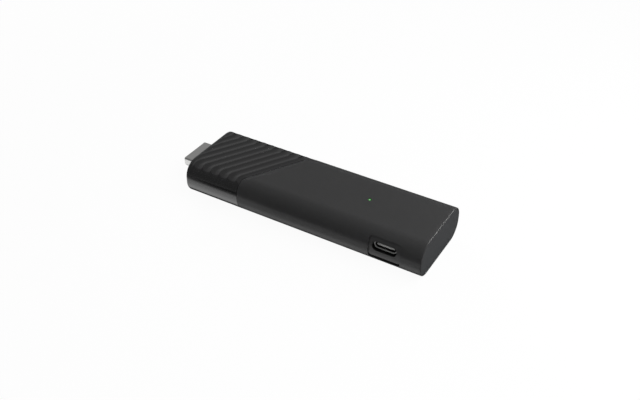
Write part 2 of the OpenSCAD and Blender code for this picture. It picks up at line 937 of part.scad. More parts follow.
main_housing();
front_housing();
end_cap();
port_bezel();
light_pipe();
hdmi_shell();
hdmi_insulator();
hdmi_contacts();
usb_shell();
usb_tongue();
usb_contacts();
inner_frame();
board_screws();
main_board();
status_led();
processor();
memory_chip();
flash_chip();
power_chip();
wifi_module();
upper_shield_frame();
upper_shield_lid();
lower_shield_frame();
lower_shield_lid();
processor_pad();
flash_pad();
upper_spreader_pad();
lower_spreader_pad();
upper_heat_spreader();
lower_heat_spreader();
wifi_antenna();
bluetooth_antenna();
power_inductors();
bulk_capacitors();
small_capacitors();
resistors();
esd_arrays();
clock_crystal();
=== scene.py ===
import bpy
import bmesh
import math
from mathutils import Matrix, Vector


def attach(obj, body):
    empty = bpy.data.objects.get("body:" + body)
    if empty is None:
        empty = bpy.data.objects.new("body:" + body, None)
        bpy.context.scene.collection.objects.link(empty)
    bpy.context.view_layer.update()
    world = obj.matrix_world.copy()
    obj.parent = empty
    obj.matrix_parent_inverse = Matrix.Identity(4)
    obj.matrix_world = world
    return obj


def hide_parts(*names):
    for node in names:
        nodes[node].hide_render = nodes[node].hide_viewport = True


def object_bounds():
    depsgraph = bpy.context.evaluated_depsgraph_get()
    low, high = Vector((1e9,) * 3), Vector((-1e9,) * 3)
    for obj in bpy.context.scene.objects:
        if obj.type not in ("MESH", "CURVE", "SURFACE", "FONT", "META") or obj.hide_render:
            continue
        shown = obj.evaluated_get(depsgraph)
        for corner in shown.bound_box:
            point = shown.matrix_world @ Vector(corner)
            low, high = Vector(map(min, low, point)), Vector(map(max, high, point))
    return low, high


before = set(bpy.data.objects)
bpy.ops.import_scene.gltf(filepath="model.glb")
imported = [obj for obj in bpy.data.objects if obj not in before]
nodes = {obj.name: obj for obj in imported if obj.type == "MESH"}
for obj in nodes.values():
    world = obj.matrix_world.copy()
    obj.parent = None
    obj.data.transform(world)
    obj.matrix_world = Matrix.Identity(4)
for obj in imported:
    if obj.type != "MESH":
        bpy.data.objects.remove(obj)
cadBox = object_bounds()
mm = 0.001
weldDistance = 0.0005  # mm, points closer than this become one
print("media stick: frame loaded with", len(nodes), "pieces")


# small helpers

def smooth(value, low, high):
    # eased step from 0 at low to 1 at high
    t = min(max((value - low) / (high - low), 0.0), 1.0)
    return t * t * (3.0 - 2.0 * t)


def addNode(tree, kind, at, **settings):
    # one shader node, its place in the editor and its own options
    node = tree.nodes.new(kind)
    node.location = at
    for key, value in settings.items():
        setattr(node, key, value)
    return node


def setInputs(node, **values):
    for key, value in values.items():
        node.inputs[key.replace("_", " ")].default_value = value
    return node


def mathNode(tree, operation, first, second, at):
    # each of the two is a number or a socket
    node = addNode(tree, "ShaderNodeMath", at, operation=operation)
    for socket, value in zip(node.inputs, (first, second)):
        if isinstance(value, (int, float)):
            socket.default_value = value
        else:
            tree.links.new(value, socket)
    return node.outputs[0]


def shadeSmooth(obj, degrees):
    # rounded shading, with the edges sharper than the angle kept crisp
    mesh = obj.data
    for polygon in mesh.polygons:
        polygon.use_smooth = True
    work = bmesh.new()
    work.from_mesh(mesh)
    for edge in work.edges:
        edge.smooth = len(edge.link_faces) == 2 and edge.calc_face_angle(0.0) < math.radians(degrees)
    work.to_mesh(mesh)
    work.free()


def newPiece(name, work):
    # turns a bmesh in mm into an object in metres
    bmesh.ops.remove_doubles(work, verts=work.verts, dist=weldDistance)
    bmesh.ops.dissolve_degenerate(work, edges=work.edges, dist=weldDistance)
    bmesh.ops.recalc_face_normals(work, faces=work.faces)
    bmesh.ops.scale(work, vec=Vector((mm, mm, mm)), verts=work.verts)
    mesh = bpy.data.meshes.new(name)
    work.to_mesh(mesh)
    work.free()
    obj = bpy.data.objects.new(name, mesh)
    bpy.context.scene.collection.objects.link(obj)
    return obj


def carve(obj, cutter):
    # takes the cutter's volume out of the piece for good
    step = obj.modifiers.new("carve", "BOOLEAN")
    step.operation = "DIFFERENCE"
    step.solver = "EXACT"
    step.object = cutter
    bpy.context.view_layer.update()
    carved = bpy.data.meshes.new_from_object(obj.evaluated_get(bpy.context.evaluated_depsgraph_get()))
    obj.modifiers.remove(step)
    obj.data = carved
    bpy.data.objects.remove(cutter)


# camera at the photo's angle

photoCamera = {
    "azimuth": 30.460,     # degrees round from the port side
    "elevation": 36.645,   # degrees above the table
    "roll": 0.368,
    "place": (131.316, -222.334, 198.235),  # mm
    "lens": 47.267,        # on a 36 mm wide sensor
}


def placeCamera(s):
    turn, rise, roll = (math.radians(s[key]) for key in ("azimuth", "elevation", "roll"))
    back = Vector((math.sin(turn) * math.cos(rise), -math.cos(turn) * math.cos(rise), math.sin(rise)))
    level = Vector((math.cos(turn), math.sin(turn), 0.0))
    upright = back.cross(level)
    right = math.cos(roll) * level + math.sin(roll) * upright
    up = math.cos(roll) * upright - math.sin(roll) * level
    data = bpy.data.cameras.new("photoCamera")
    data.sensor_fit = "HORIZONTAL"
    data.sensor_width = 36.0
    data.lens = s["lens"]
    data.clip_start = 0.01
    data.clip_end = 20.0
    camera = bpy.data.objects.new("photoCamera", data)
    bpy.context.scene.collection.objects.link(camera)
    place = Vector(s["place"]) * mm
    camera.matrix_world = Matrix.Translation(place) @ Matrix((right, up, back)).transposed().to_4x4()
    bpy.context.scene.camera = camera


placeCamera(photoCamera)
print("media stick: camera placed")


# the body's outline, shared by the front and the sleeve

bodyForm = {
    "length": 101.4,
    "width": 33.3,
    "height": 14.3,
    "cornerRadius": 6.2,
    "wall": 1.3,
    "endRounding": 0.5,
    "endSteps": 4,      # points round the end rounding
    "cornerSteps": 22,  # round each corner
    "sideSteps": 4,     # down the flat of each side
    "underSteps": 14,   # across each half of the underside
    "crispAngle": 34,   # edges sharper than this stay crisp, in degrees
}
seamForm = {
    "middle": -19.3,    # where the seam crosses the middle of the top
    "halfRun": 12.4,    # how far it slants to each side before it runs straight round
    "slant": math.radians(60.0),
    "gap": 0.1,
    "lip": 0.07,        # rounding of each lip of the seam
    "lipSteps": 3,
    "clear": 0.02,      # least distance from the lip to the next column of points
}
fluteForm = {
    "pitch": 3.5 / math.sin(math.radians(60.0)),
    "depth": 0.45,
    "pastSeam": 0.1 / math.sin(math.radians(60.0)),
    "crest": 0.92,      # share of a flute's half width at which its crest starts to round over
    "shoulder": 1.5,    # last flute: where its outer flank starts to ease into the flat top
    "fadeStart": 1.4,   # mm of the rounded corner that the flutes run down at full depth
    "fadeEnd": 5.6,
    "endRim": 0.3,      # plain rim left at the plug end
    "endRise": 1.2,     # run over which the flutes rise to it
    "riseSteps": 10,
    "columnSets": 12,   # flutes that get columns of points, at these places in half widths
    "columns": (-1, -0.985, -0.96, -0.92, -0.8, -0.62, -0.42, -0.2, 0, 0.2, 0.42, 0.62, 0.8, 0.92, 0.96, 0.985),
}

flatHalf = bodyForm["width"] / 2 - bodyForm["cornerRadius"]
sideFlat = bodyForm["height"] - 2 * bodyForm["cornerRadius"]
cornerRun = bodyForm["cornerRadius"] * math.pi / 2
plugEnd = -bodyForm["length"] / 2
farEnd = bodyForm["length"] / 2


def outlinePoint(arc, depth=0.0):
    # y and z at a distance round the outline from the middle of the top, sunk by depth
    side = 1.0 if arc >= 0 else -1.0
    run = abs(arc)
    radius, height = bodyForm["cornerRadius"], bodyForm["height"]
    if run <= flatHalf:
        return side * run, height - depth
    run -= flatHalf
    if run <= cornerRun:
        turn = run / radius
        reach = radius - depth
        return side * (flatHalf + reach * math.sin(turn)), height - radius + reach * math.cos(turn)
    run -= cornerRun
    if run <= sideFlat:
        return side * (flatHalf + radius - depth), height - radius - run
    run -= sideFlat
    if run <= cornerRun:
        turn = run / radius
        reach = radius - depth
        return side * (flatHalf + reach * math.cos(turn)), radius - reach * math.sin(turn)
    run -= cornerRun
    return side * (flatHalf - run), depth


def outlineSteps(flatStep):
    # distances round the outline, from the middle of the underside all the way round
    marks = []
    edge = 0.0
    for run, steps in (
        (flatHalf, math.ceil(flatHalf / flatStep)),
        (cornerRun, bodyForm["cornerSteps"]),
        (sideFlat, bodyForm["sideSteps"]),
        (cornerRun, bodyForm["cornerSteps"]),
        (flatHalf, bodyForm["underSteps"]),
    ):
        marks += [edge + run * i / steps for i in range(steps)]
        edge += run
    marks.append(edge)
    return [-m for m in reversed(marks[1:])] + marks[:-1]


def seamAt(arc):
    # x of the seam at a distance round the outline
    y = max(-seamForm["halfRun"], min(seamForm["halfRun"], outlinePoint(arc)[0]))
    return seamForm["middle"] + y / math.tan(seamForm["slant"])


def fluteProfile(offset):
    # share of full depth at an offset along X from the seam, towards the plug
    half = fluteForm["pitch"] / 2
    offset += fluteForm["pastSeam"]
    if offset < 0:
        run, start = -offset, fluteForm["shoulder"]
        if run <= start:
            return 1 - (run / half) ** 2
        left = 1 - (start / half) ** 2
        ease = 2 * left / (2 * start / half ** 2)
        return left * max(0.0, 1 - (run - start) / ease) ** 2
    place = abs((offset + half) % fluteForm["pitch"] - half) / half
    crest = fluteForm["crest"]
    low = 1 - crest ** 2 - crest * (1 - crest)
    if place <= crest:
        return (1 - place ** 2 - low) / (1 - low) if offset > half else 1 - place ** 2
    rounded = 1 - crest ** 2 - 2 * crest * (place - crest) + crest / (1 - crest) * (place - crest) ** 2
    return (rounded - low) / (1 - low) if offset > half else rounded


def fluteDepth(x, arc):
    # how far the flutes sink the skin at x and a distance round the outline
    run = abs(arc) - flatHalf
    if run >= fluteForm["fadeEnd"]:
        return 0.0
    fade = 1 - smooth(run, fluteForm["fadeStart"], fluteForm["fadeEnd"])
    rim = plugEnd + bodyForm["endRounding"] + fluteForm["endRim"]
    fade *= smooth(x, rim, rim + fluteForm["endRise"])
    return fluteForm["depth"] * fade * fluteProfile(seamAt(arc) - x)


def skinRow(work, arc, stations):
    # one row of points along X, each (x, how far it is sunk below the plain outline)
    row = []
    for x, sunk in stations:
        y, z = outlinePoint(arc, sunk)
        row.append(work.verts.new((x, y, z)))
    return row


def skinFaces(work, rows, closed):
    # quads between neighbouring rows, and round each row where it closes on itself
    for index, row in enumerate(rows):
        after = rows[(index + 1) % len(rows)]
        count = len(row)
        for i in range(count if closed else count - 1):
            j = (i + 1) % count
            work.faces.new((row[i], row[j], after[j], after[i]))


def quarterRound(radius, steps):
    # (along, down) of a rounded edge, from the skin to the end face
    return [
        (radius * math.sin(math.pi / 2 * i / steps), radius * (1 - math.cos(math.pi / 2 * i / steps)))
        for i in range(steps + 1)
    ]


# gloss front with its flutes

def fluteOffsets():
    # offsets from the seam at which the front needs a column of points
    half = fluteForm["pitch"] / 2
    marks = []
    for k in range(fluteForm["columnSets"]):
        centre = k * fluteForm["pitch"] - fluteForm["pastSeam"]
        marks += [centre + place * half for place in fluteForm["columns"]]
    return marks


frontForm = {"flatStep": 0.4}  # spacing of the points across the flat top
plugOpening = {
    "width": 14.1,
    "height": 4.65,
    "centre": 7.0,
    "upright": 2.65,    # straight part of the side, from the top
    "inset": 1.2,       # how far the underside is drawn in
    "corner": 0.4,      # bevel of the upper corners
    "lowCorner": (0.5, 0.35),
    "depth": 1.6,
}


def plugOutline(s, count):
    # points round the plug's opening, wide side up
    half, top, low = s["width"] / 2, s["centre"] + s["height"] / 2, s["centre"] - s["height"] / 2
    corner, (lowRun, lowRise) = s["corner"], s["lowCorner"]
    corners = [
        (0.0, top), (half - corner, top), (half, top - corner), (half, top - s["upright"]),
        (half - s["inset"], low + lowRise), (half - s["inset"] - lowRun, low), (0.0, low),
    ]
    corners += [(-y, z) for y, z in reversed(corners[1:-1])]
    spans = [math.dist(corners[i], corners[(i + 1) % len(corners)]) for i in range(len(corners))]
    total, points = sum(spans), []
    for k in range(count):
        run, i = total * k / count, 0
        while run > spans[i]:
            run -= spans[i]
            i += 1
        a, b = corners[i], corners[(i + 1) % len(corners)]
        points.append((a[0] + (b[0] - a[0]) * run / spans[i], a[1] + (b[1] - a[1]) * run / spans[i]))
    return points


def buildFront():
    work = bmesh.new()
    arcs = outlineSteps(frontForm["flatStep"])
    lip, rounding = seamForm["lip"], bodyForm["endRounding"]
    lipRound = quarterRound(lip, seamForm["lipSteps"])
    rise, riseSteps = fluteForm["endRise"], fluteForm["riseSteps"]
    rimStart = plugEnd + rounding + fluteForm["endRim"] + rise
    offsets = [c for c in fluteOffsets() if c > seamForm["gap"] / 2 + lip + seamForm["clear"]]
    rows = []
    for arc in arcs:
        seam = seamAt(arc) - seamForm["gap"] / 2
        sunkAtSeam = fluteDepth(seam - lip, arc)
        stations = [(seam, sunkAtSeam + bodyForm["wall"])]
        stations += [(seam - lip + along, sunkAtSeam + down) for along, down in reversed(lipRound)]
        fluted = [max(seamAt(arc) - c, rimStart) for c in offsets]
        fluted += [rimStart - rise * i / riseSteps for i in range(1, riseSteps + 1)] + [plugEnd + rounding]
        stations += [(x, fluteDepth(x, arc)) for x in fluted]
        endRound = quarterRound(rounding, bodyForm["endSteps"])[1:]
        stations += [(plugEnd + rounding - along, down) for along, down in endRound]
        rows.append(skinRow(work, arc, stations))
    skinFaces(work, rows, False)
    # flat end face, from the rounded rim to the plug's opening and in along its wall
    rim = [row[-1] for row in rows]
    start = min(range(len(arcs)), key=lambda i: abs(arcs[i]))
    opening = plugOutline(plugOpening, len(rim))
    loops = [[], []]
    for i in range(len(rim)):
        y, z = opening[(i - start) % len(rim)]
        loops[0].append(work.verts.new((plugEnd, y, z)))
        loops[1].append(work.verts.new((plugEnd + plugOpening["depth"], y, z)))
    for first, second in ((rim, loops[0]), (loops[0], loops[1])):
        for i in range(len(rim)):
            j = (i + 1) % len(rim)
            work.faces.new((first[i], first[j], second[j], second[i]))
    front = newPiece("frontShell", work)
    shadeSmooth(front, bodyForm["crispAngle"])
    return front


frontShell = buildFront()
print("media stick: gloss front,", len(frontShell.data.polygons), "faces")


# matt sleeve with the port's opening and the light's hole

sleeveForm = {
    "rim": 0.6,          # width of the rim round the far end
    "rimRounding": 0.33,
    "rimBevel": 0.08,    # on the inner edge of the rim
    "capRoom": 1.7,      # how deep the end cap's place is
    "flatStep": 0.8,     # spacing of the points across the flat top
    "plainSteps": 40,    # columns along the plain part, which ends this far from the end
    "plainEnd": 2.0,
    # columns of points beyond the seam, where the last flute runs out
    "runOut": (
        0.3, 0.55, 0.8, 1.05, 1.27, 1.5, 1.8, 2.1, 2.4, 2.65, 2.8, 2.95, 3.1, 3.3, 3.5, 3.7, 3.9, 4.1, 4.6,
    ),
}
portOpening = {
    "middle": 36.3,
    "width": 12.5,
    "low": 3.18,
    "high": 12.18,
    "corner": 1.0,
    "cornerSteps": 8,
    "depth": 4.2,
}
lightHole = {"x": 21.5, "y": 0.5, "radius": 0.72, "sides": 40, "depth": 3.0}


def buildSleeve():
    work = bmesh.new()
    arcs = outlineSteps(sleeveForm["flatStep"])
    lip, wall = seamForm["lip"], bodyForm["wall"]
    lipRound = quarterRound(lip, seamForm["lipSteps"])
    rounding, inner, bevel = (sleeveForm[key] for key in ("rimRounding", "rim", "rimBevel"))
    rimRound = quarterRound(rounding, bodyForm["endSteps"])
    capSeat, steps = farEnd - sleeveForm["capRoom"], sleeveForm["plainSteps"]
    rows = []
    for arc in arcs:
        seam = seamAt(arc) + seamForm["gap"] / 2
        sunkAtSeam = fluteDepth(seam + lip, arc)
        stations = [(seam, wall)]
        stations += [(seam + lip - along, sunkAtSeam + down) for along, down in reversed(lipRound)]
        stations += [(seam + step, fluteDepth(seam + step, arc)) for step in sleeveForm["runOut"]]
        first = stations[-1][0]
        run = farEnd - sleeveForm["plainEnd"] - first
        stations += [(first + run * i / steps, 0.0) for i in range(1, steps + 1)]
        stations += [(farEnd - rounding + along, down) for along, down in rimRound]
        stations += [(farEnd, inner - bevel), (farEnd - bevel, inner), (capSeat, inner), (capSeat, wall)]
        rows.append(skinRow(work, arc, stations))
    skinFaces(work, rows, True)
    sleeve = newPiece("sleeveShell", work)
    carve(sleeve, portCutter(portOpening))
    carve(sleeve, lightCutter(lightHole))
    shadeSmooth(sleeve, bodyForm["crispAngle"])
    return sleeve


def portCutter(s):
    work = bmesh.new()
    half, corner, steps = s["width"] / 2, s["corner"], s["cornerSteps"]
    ring = []
    for cx, cz, turn in (
        (s["middle"] + half - corner, s["high"] - corner, 0),
        (s["middle"] - half + corner, s["high"] - corner, 90),
        (s["middle"] - half + corner, s["low"] + corner, 180),
        (s["middle"] + half - corner, s["low"] + corner, 270),
    ):
        for i in range(steps + 1):
            angle = math.radians(turn + 90 * i / steps)
            ring.append((cx + corner * math.cos(angle), cz + corner * math.sin(angle)))
    ends = (-bodyForm["width"], -bodyForm["width"] / 2 + s["depth"])
    return prismCutter(work, [[(x, y, z) for x, z in ring] for y in ends])


def lightCutter(s):
    work = bmesh.new()
    turns = [math.tau * i / s["sides"] for i in range(s["sides"])]
    ring = [(s["x"] + s["radius"] * math.cos(turn), s["y"] + s["radius"] * math.sin(turn)) for turn in turns]
    ends = (bodyForm["height"] - s["depth"], bodyForm["height"] + s["depth"])
    return prismCutter(work, [[(x, y, z) for x, y in ring] for z in ends])


def prismCutter(work, ends):
    # closed prism between two rings of points
    loops = [[work.verts.new(p) for p in points] for points in ends]
    work.faces.new(loops[0])
    work.faces.new(list(reversed(loops[1])))
    count = len(loops[0])
    for i in range(count):
        j = (i + 1) % count
        work.faces.new((loops[0][i], loops[1][i], loops[1][j], loops[0][j]))
    return newPiece("cutter", work)


sleeveShell = buildSleeve()
print("media stick: matt sleeve,", len(sleeveShell.data.polygons), "faces")


# effects shared by the materials

def newGroup(name, inputs, outputs):
    group = bpy.data.node_groups.new(name, "ShaderNodeTree")
    for label, value in inputs.items():
        socket = group.interface.new_socket(label, in_out="INPUT", socket_type="NodeSocketFloat")
        socket.default_value = value
    for label, kind in outputs.items():
        group.interface.new_socket(label, in_out="OUTPUT", socket_type=kind)
    return group, addNode(group, "NodeGroupInput", (-900, 0)), addNode(group, "NodeGroupOutput", (600, 0))


def makeMouldGrain():
    # fine cells of a spark-eroded mould, with a slower drift over the whole piece
    group, given, result = newGroup(
        "Mould Grain",
        {"Size": 0.0002, "Drift Size": 0.02},
        {"Height": "NodeSocketFloat", "Cells": "NodeSocketFloat", "Drift": "NodeSocketFloat"},
    )
    coords = addNode(group, "ShaderNodeTexCoord", (-900, 300))
    fine = mathNode(group, "DIVIDE", 1.0, given.outputs["Size"], (-700, 100))
    slow = mathNode(group, "DIVIDE", 1.0, given.outputs["Drift Size"], (-700, -100))
    noise = setInputs(addNode(group, "ShaderNodeTexNoise", (-450, 250)), Detail=3.0, Roughness=0.6)
    group.links.new(coords.outputs["Object"], noise.inputs["Vector"])
    group.links.new(fine, noise.inputs["Scale"])
    cells = addNode(group, "ShaderNodeTexVoronoi", (-450, 0))
    group.links.new(coords.outputs["Object"], cells.inputs["Vector"])
    group.links.new(fine, cells.inputs["Scale"])
    drift = setInputs(addNode(group, "ShaderNodeTexNoise", (-450, -250)), Detail=4.0, Roughness=0.55)
    group.links.new(coords.outputs["Object"], drift.inputs["Vector"])
    group.links.new(slow, drift.inputs["Scale"])
    # the cells at full height, with a share of the noise over them
    noiseShare = 0.7
    height = addNode(group, "ShaderNodeMath", (0, 150), operation="MULTIPLY_ADD")
    group.links.new(noise.outputs["Fac"], height.inputs[0])
    height.inputs[1].default_value = noiseShare
    group.links.new(cells.outputs["Distance"], height.inputs[2])
    group.links.new(height.outputs[0], result.inputs["Height"])
    group.links.new(noise.outputs["Fac"], result.inputs["Cells"])
    group.links.new(drift.outputs["Fac"], result.inputs["Drift"])
    return group


def makeEdgeWear():
    # finds outer edges, broken up so that the rubbed places differ
    group, given, result = newGroup(
        "Edge Wear",
        {"Patch Size": 0.003, "Amount": 0.5},
        {"Wear": "NodeSocketFloat", "Soft Normal": "NodeSocketVector"},
    )
    bevel = setInputs(addNode(group, "ShaderNodeBevel", (-700, 200), samples=4), Radius=0.00015)
    shape = addNode(group, "ShaderNodeNewGeometry", (-700, 0))
    angle = addNode(group, "ShaderNodeVectorMath", (-500, 100), operation="DOT_PRODUCT")
    group.links.new(bevel.outputs["Normal"], angle.inputs[0])
    group.links.new(shape.outputs["Normal"], angle.inputs[1])
    edge = setInputs(addNode(group, "ShaderNodeMapRange", (-300, 100)), From_Min=0.995, From_Max=0.86)
    group.links.new(angle.outputs["Value"], edge.inputs["Value"])
    coords = addNode(group, "ShaderNodeTexCoord", (-900, -250))
    size = mathNode(group, "DIVIDE", 1.0, given.outputs["Patch Size"], (-700, -250))
    patches = setInputs(addNode(group, "ShaderNodeTexNoise", (-500, -250)), Detail=5.0, Roughness=0.65)
    group.links.new(coords.outputs["Object"], patches.inputs["Vector"])
    group.links.new(size, patches.inputs["Scale"])
    broken = mathNode(group, "MULTIPLY", edge.outputs["Result"], patches.outputs["Fac"], (-100, 0))
    amount = addNode(group, "ShaderNodeMath", (100, 0), operation="MULTIPLY", use_clamp=True)
    group.links.new(broken, amount.inputs[0])
    group.links.new(given.outputs["Amount"], amount.inputs[1])
    group.links.new(amount.outputs[0], result.inputs["Wear"])
    group.links.new(bevel.outputs["Normal"], result.inputs["Soft Normal"])
    return group


def makePortDepth():
    # 0 at the mouth of the port, 1 once well in; the mask for painted shade deep in the port
    group, given, result = newGroup("Port Depth", {"Start": 0.0, "End": 0.001}, {"Depth": "NodeSocketFloat"})
    coords = addNode(group, "ShaderNodeTexCoord", (-700, 0))
    split = addNode(group, "ShaderNodeSeparateXYZ", (-500, 0))
    group.links.new(coords.outputs["Object"], split.inputs["Vector"])
    deep = addNode(group, "ShaderNodeMapRange", (-200, 0))
    group.links.new(split.outputs["Y"], deep.inputs["Value"])
    group.links.new(given.outputs["Start"], deep.inputs["From Min"])
    group.links.new(given.outputs["End"], deep.inputs["From Max"])
    group.links.new(deep.outputs["Result"], result.inputs["Depth"])
    return group


def makeGlowSpot():
    # 0 over the light source, 1 from the given radius outwards
    group, given, result = newGroup(
        "Glow Spot",
        {"Centre X": 0.0, "Centre Y": 0.0, "Core": 0.0002, "Radius": 0.0005},
        {"Rim": "NodeSocketFloat"},
    )
    coords = addNode(group, "ShaderNodeTexCoord", (-900, 300))
    split = addNode(group, "ShaderNodeSeparateXYZ", (-700, 300))
    group.links.new(coords.outputs["Object"], split.inputs["Vector"])
    flat = addNode(group, "ShaderNodeCombineXYZ", (-300, 300))
    for index, axis in enumerate("XY"):
        centre = given.outputs["Centre " + axis]
        away = mathNode(group, "SUBTRACT", split.outputs[axis], centre, (-500, 300 - 150 * index))
        group.links.new(away, flat.inputs[axis])
    distance = addNode(group, "ShaderNodeVectorMath", (-100, 300), operation="LENGTH")
    group.links.new(flat.outputs["Vector"], distance.inputs[0])
    rim = addNode(group, "ShaderNodeMapRange", (100, 200), interpolation_type="SMOOTHSTEP")
    group.links.new(distance.outputs["Value"], rim.inputs["Value"])
    group.links.new(given.outputs["Core"], rim.inputs["From Min"])
    group.links.new(given.outputs["Radius"], rim.inputs["From Max"])
    group.links.new(rim.outputs["Result"], result.inputs["Rim"])
    return group


mouldGrain = makeMouldGrain()
edgeWear = makeEdgeWear()
portDepth = makePortDepth()
glowSpot = makeGlowSpot()


def useGroup(tree, group, at, **values):
    return setInputs(addNode(tree, "ShaderNodeGroup", at, node_tree=group), **values)


def newMaterial(name):
    material = bpy.data.materials.new(name)
    material.use_nodes = True
    tree = material.node_tree
    tree.nodes.clear()
    shader = addNode(tree, "ShaderNodeBsdfPrincipled", (500, 0))
    output = addNode(tree, "ShaderNodeOutputMaterial", (800, 0))
    tree.links.new(shader.outputs["BSDF"], output.inputs["Surface"])
    return material, tree, shader


def blendColours(tree, mask, first, second, at):
    mix = addNode(tree, "ShaderNodeMix", at, data_type="RGBA")
    tree.links.new(mask, mix.inputs[0])
    for socket, colour in ((mix.inputs[6], first), (mix.inputs[7], second)):
        if isinstance(colour, tuple):
            socket.default_value = colour + (1.0,)
        else:
            tree.links.new(colour, socket)
    return mix.outputs[2]


def spread(tree, value, low, high, at):
    # a 0 to 1 value stretched between low and high
    ranged = setInputs(addNode(tree, "ShaderNodeMapRange", at), To_Min=low, To_Max=high)
    tree.links.new(value, ranged.inputs["Value"])
    return ranged.outputs["Result"]


def mouthDepth(tree, mouth):
    # mask for the painted shade that darkens parts past the port's mouth
    start, end = mouth
    return useGroup(tree, portDepth, (-100, 500), Start=start * mm, End=end * mm).outputs["Depth"]


def portWalls(tree):
    # 1 on the walls that run straight into the port, 0 on the face of the panel; the mask for painted shade on those
    # walls
    shape = addNode(tree, "ShaderNodeNewGeometry", (-500, 500))
    split = addNode(tree, "ShaderNodeSeparateXYZ", (-300, 500))
    tree.links.new(shape.outputs["Normal"], split.inputs["Vector"])
    facing = mathNode(tree, "ABSOLUTE", split.outputs["Y"], 0.0, (-200, 500))
    wall = setInputs(addNode(tree, "ShaderNodeMapRange", (-100, 500)), From_Min=0.3, From_Max=0.15)
    tree.links.new(facing, wall.inputs["Value"])
    return wall.outputs["Result"]


def mouldedPlastic(name, s):
    # moulded plastic: grain in the bump, drift in colour and roughness, paler rubbed edges, and where given painted
    # shade on the port's walls or past its mouth
    material, tree, shader = newMaterial(name)
    grain = useGroup(tree, mouldGrain, (-500, 100), Size=s["grain"], Drift_Size=0.018)
    wear = useGroup(tree, edgeWear, (-500, -250), Patch_Size=0.004, Amount=s["wear"])
    tint = blendColours(tree, grain.outputs["Drift"], s["dark"], s["light"], (-150, 200))
    colour = blendColours(tree, wear.outputs["Wear"], tint, s["rubbed"], (100, 200))
    # painted shade: the port's walls, or all past the port's mouth, get a near black colour
    if "inside" in s:
        mask = mouthDepth(tree, s["mouth"]) if "mouth" in s else portWalls(tree)
        colour = blendColours(tree, mask, colour, s["inside"], (300, 200))
    tree.links.new(colour, shader.inputs["Base Color"])
    tree.links.new(spread(tree, grain.outputs["Cells"], *s["roughness"], (-150, -50)), shader.inputs["Roughness"])
    bump = setInputs(addNode(tree, "ShaderNodeBump", (200, -300)), Strength=s["bump"], Distance=s["grain"] * 0.4)
    tree.links.new(grain.outputs["Height"], bump.inputs["Height"])
    tree.links.new(wear.outputs["Soft Normal"], bump.inputs["Normal"])
    tree.links.new(bump.outputs["Normal"], shader.inputs["Normal"])
    for key in ("IOR", "Coat Weight", "Coat Roughness", "Specular IOR Level"):
        if key in s:
            shader.inputs[key].default_value = s[key]
    return material


def makeRolledGrain():
    # long fine streaks of rolled and stamped sheet, with smudges over them
    group, given, result = newGroup(
        "Rolled Grain",
        {"Along": 0.004, "Across": 0.00008, "Smudge Size": 0.004},
        {"Streaks": "NodeSocketFloat", "Smudge": "NodeSocketFloat"},
    )
    coords = addNode(group, "ShaderNodeTexCoord", (-900, 300))
    split = addNode(group, "ShaderNodeSeparateXYZ", (-700, 300))
    group.links.new(coords.outputs["Object"], split.inputs["Vector"])
    joined = addNode(group, "ShaderNodeCombineXYZ", (-300, 300))
    for index, key in enumerate(("Along", "Across", "Across")):
        share = mathNode(group, "DIVIDE", split.outputs[index], given.outputs[key], (-500, 300 - 150 * index))
        group.links.new(share, joined.inputs[index])
    streaks = setInputs(addNode(group, "ShaderNodeTexNoise", (-100, 250)), Scale=1.0, Detail=3.0, Roughness=0.6)
    group.links.new(joined.outputs["Vector"], streaks.inputs["Vector"])
    size = mathNode(group, "DIVIDE", 1.0, given.outputs["Smudge Size"], (-500, -250))
    smudge = setInputs(addNode(group, "ShaderNodeTexNoise", (-100, -150)), Detail=4.0, Roughness=0.6, Distortion=0.6)
    group.links.new(coords.outputs["Object"], smudge.inputs["Vector"])
    group.links.new(size, smudge.inputs["Scale"])
    group.links.new(streaks.outputs["Fac"], result.inputs["Streaks"])
    group.links.new(smudge.outputs["Fac"], result.inputs["Smudge"])
    return group


rolledGrain = makeRolledGrain()


def sheetMetal(name, s):
    # stamped or rolled metal: streaks in roughness and bump, smudged colour, brighter rubbed edges, and where given
    # painted shade past the port's mouth
    material, tree, shader = newMaterial(name)
    grain = useGroup(tree, rolledGrain, (-500, 100), Along=s.get("along", 0.004), Across=s.get("across", 0.00008))
    wear = useGroup(tree, edgeWear, (-500, -250), Patch_Size=0.002, Amount=0.9)
    tint = blendColours(tree, grain.outputs["Smudge"], s["dark"], s["light"], (-150, 200))
    colour = blendColours(tree, wear.outputs["Wear"], tint, s["rubbed"], (100, 200))
    # painted shade: near black past the port's mouth
    if "mouth" in s:
        colour = blendColours(tree, mouthDepth(tree, s["mouth"]), colour, s["inside"], (300, 200))
    tree.links.new(colour, shader.inputs["Base Color"])
    # streaks times smudge stays near a quarter, so the upper roughness counts three times
    mixed = mathNode(tree, "MULTIPLY", grain.outputs["Streaks"], grain.outputs["Smudge"], (-300, -50))
    least, most = s["roughness"]
    tree.links.new(spread(tree, mixed, least, 3 * most, (-100, -50)), shader.inputs["Roughness"])
    bump = setInputs(addNode(tree, "ShaderNodeBump", (200, -300)), Strength=s["bump"], Distance=0.00002)
    tree.links.new(grain.outputs["Streaks"], bump.inputs["Height"])
    tree.links.new(wear.outputs["Soft Normal"], bump.inputs["Normal"])
    tree.links.new(bump.outputs["Normal"], shader.inputs["Normal"])
    shader.inputs["Metallic"].default_value = s.get("metallic", 1.0)
    return material


